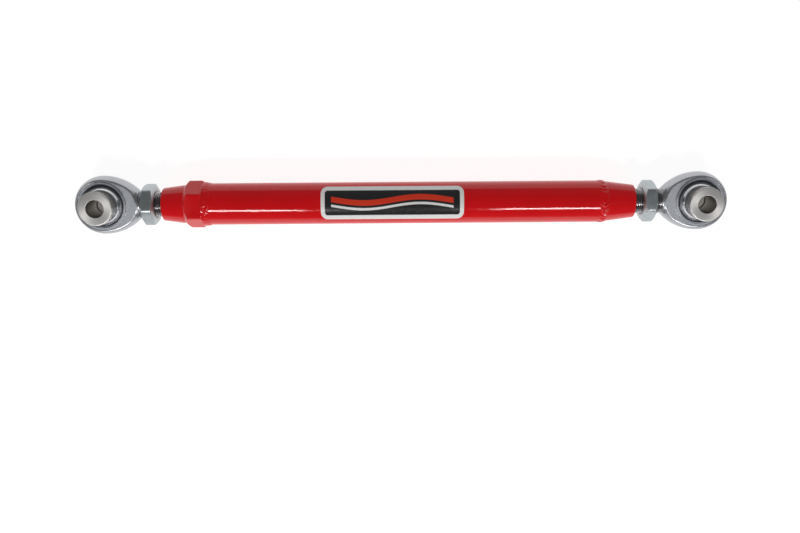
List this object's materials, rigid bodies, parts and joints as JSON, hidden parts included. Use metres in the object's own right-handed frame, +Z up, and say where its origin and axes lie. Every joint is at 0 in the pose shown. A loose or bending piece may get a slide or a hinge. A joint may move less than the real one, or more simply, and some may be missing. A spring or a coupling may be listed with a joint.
{
  "type": "adjustable suspension control arm",
  "caption": "Adjustable tubular suspension control arm with a threaded rod end, jam nut and misalignment spacers at each end.",
  "frame": {"origin": "on the tube's axis, halfway between the two bolt bores, which is the centre of the bounding box", "axes": "+X along the arm from the hexagon end to the round end, +Z up along both bolt bores, +Y across"},
  "size_m": [0.4964, 0.0444, 0.0476],
  "materials": {
    "red_powder_coat": "glossy red powder coat",
    "printed_vinyl": "glossy printed vinyl label",
    "zinc_plated_steel": "clear blue zinc plate",
    "satin_rod_end_steel": "satin plated steel",
    "race_steel": "satin steel",
    "liner_fabric": "dark woven low-friction liner",
    "polished_ball_steel": "polished hard chrome",
    "machined_spacer_steel": "turned stainless steel",
    "black_rubber": "matte black rubber"
  },
  "bodies": {
    "arm": {"arm_tube": "red_powder_coat", "hex_tube_adapter": "red_powder_coat", "round_tube_adapter": "red_powder_coat", "hex_end_weld_bead": "red_powder_coat", "round_end_weld_bead": "red_powder_coat", "tube_decal": "printed_vinyl"},
    "hex_end_nut": {"hex_end_jam_nut": "zinc_plated_steel"},
    "hex_end_rod_end": {"hex_end_rod_end_body": "satin_rod_end_steel", "hex_end_bearing_race": "race_steel"},
    "hex_end_liner": {"hex_end_bearing_liner": "liner_fabric"},
    "hex_end_ball": {"hex_end_bearing_ball": "polished_ball_steel"},
    "hex_end_spacers": {"hex_end_upper_spacer": "machined_spacer_steel", "hex_end_lower_spacer": "machined_spacer_steel", "hex_end_upper_o_ring": "black_rubber", "hex_end_lower_o_ring": "black_rubber"},
    "round_end_nut": {"round_end_jam_nut": "zinc_plated_steel"},
    "round_end_rod_end": {"round_end_rod_end_body": "satin_rod_end_steel", "round_end_bearing_race": "race_steel"},
    "round_end_liner": {"round_end_bearing_liner": "liner_fabric"},
    "round_end_ball": {"round_end_bearing_ball": "polished_ball_steel"},
    "round_end_spacers": {"round_end_upper_spacer": "machined_spacer_steel", "round_end_lower_spacer": "machined_spacer_steel", "round_end_upper_o_ring": "black_rubber", "round_end_lower_o_ring": "black_rubber"}
  },
  "joints": [
    {"name": "hex_end_screw_travel", "type": "slide", "parent": "arm", "child": "hex_end_nut", "axis": [-1, 0, 0], "range_m": [-0.00476, 0.00794]},
    {"name": "hex_end_screw_turn", "type": "hinge", "parent": "hex_end_nut", "child": "hex_end_rod_end", "pos_m": [-0.226, 0, 0], "axis": [1, 0, 0], "range_deg": [-1081, 1801]},
    {"name": "hex_end_swing", "type": "hinge", "parent": "hex_end_rod_end", "child": "hex_end_liner", "pos_m": [-0.226, 0, 0], "axis": [0, 0, 1], "continuous": true},
    {"name": "hex_end_tilt", "type": "hinge", "parent": "hex_end_liner", "child": "hex_end_ball", "pos_m": [-0.226, 0, 0], "axis": [1, 0, 0], "range_deg": [-14, 14]},
    {"name": "hex_end_spacer_spin", "type": "hinge", "parent": "hex_end_ball", "child": "hex_end_spacers", "pos_m": [-0.226, 0, 0], "axis": [0, 0, 1], "continuous": true},
    {"name": "round_end_screw_travel", "type": "slide", "parent": "arm", "child": "round_end_nut", "axis": [1, 0, 0], "range_m": [-0.00476, 0.00476]},
    {"name": "round_end_screw_turn", "type": "hinge", "parent": "round_end_nut", "child": "round_end_rod_end", "pos_m": [0.226, 0, 0], "axis": [1, 0, 0], "range_deg": [-1081, 1081]},
    {"name": "round_end_swing", "type": "hinge", "parent": "round_end_rod_end", "child": "round_end_liner", "pos_m": [0.226, 0, 0], "axis": [0, 0, 1], "continuous": true},
    {"name": "round_end_tilt", "type": "hinge", "parent": "round_end_liner", "child": "round_end_ball", "pos_m": [0.226, 0, 0], "axis": [1, 0, 0], "range_deg": [-14, 14]},
    {"name": "round_end_spacer_spin", "type": "hinge", "parent": "round_end_ball", "child": "round_end_spacers", "pos_m": [0.226, 0, 0], "axis": [0, 0, 1], "continuous": true}
  ],
  "couplings": [
    {"joint": "hex_end_screw_turn", "follows": "hex_end_screw_travel", "rad_per_m": 3957.9},
    {"joint": "round_end_screw_turn", "follows": "round_end_screw_travel", "rad_per_m": 3957.9}
  ]
}
